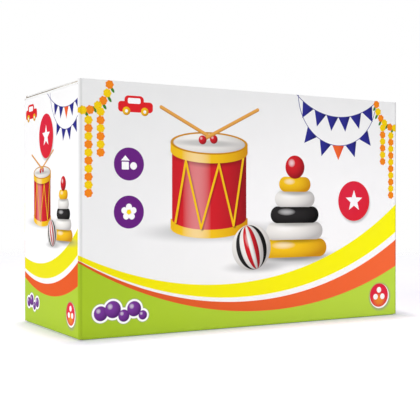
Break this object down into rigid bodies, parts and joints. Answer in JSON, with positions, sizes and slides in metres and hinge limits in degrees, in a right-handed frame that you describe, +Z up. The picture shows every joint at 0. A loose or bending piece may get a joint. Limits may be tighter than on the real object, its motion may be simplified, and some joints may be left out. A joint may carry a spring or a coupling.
{
  "type": "printed tuck-top carton",
  "caption": "Oblong retail carton of fluted board with a glued sleeve, a sealed bottom, dust flaps and a hinged lid whose tab tucks behind the front.",
  "frame": {"origin": "on the floor, at the middle of the carton's bottom", "axes": "+X along the long front, -Y out of the front, +Z up"},
  "size_m": [0.36, 0.148, 0.226],
  "materials": {
    "printed_liner": "white printed paper with a satin varnish",
    "kraft_board": "plain fluted kraft board"
  },
  "bodies": {
    "carton": {"front_panel": "printed_liner", "back_panel": "printed_liner", "left_end_panel": "printed_liner", "right_end_panel": "printed_liner", "glue_flap": "kraft_board", "bottom_front_flap": "printed_liner", "bottom_back_flap": "kraft_board", "bottom_left_flap": "kraft_board", "bottom_right_flap": "kraft_board"},
    "lid": {"lid": "printed_liner"},
    "tuck": {"tuck_tab": "printed_liner"},
    "left_flap": {"left_dust_flap": "kraft_board"},
    "right_flap": {"right_dust_flap": "kraft_board"}
  },
  "joints": [
    {"name": "lid_crease", "type": "hinge", "parent": "carton", "child": "lid", "pos_m": [0, 0.074, 0.226], "axis": [-1, 0, 0], "range_deg": [0, 265]},
    {"name": "tuck_crease", "type": "hinge", "parent": "lid", "child": "tuck", "pos_m": [0, -0.0714, 0.226], "axis": [-1, 0, 0], "range_deg": [0, 101]},
    {"name": "left_flap_crease", "type": "hinge", "parent": "carton", "child": "left_flap", "pos_m": [-0.18, 0, 0.2239], "axis": [0, -1, 0], "range_deg": [0, 181]},
    {"name": "right_flap_crease", "type": "hinge", "parent": "carton", "child": "right_flap", "pos_m": [0.18, 0, 0.2239], "axis": [0, 1, 0], "range_deg": [0, 181]}
  ],
  "couplings": [
    {"joint": "tuck_crease", "follows": "lid_crease", "ratio": 0.37736},
    {"joint": "left_flap_crease", "follows": "lid_crease", "ratio": 0.67925},
    {"joint": "right_flap_crease", "follows": "lid_crease", "ratio": 0.67925}
  ]
}
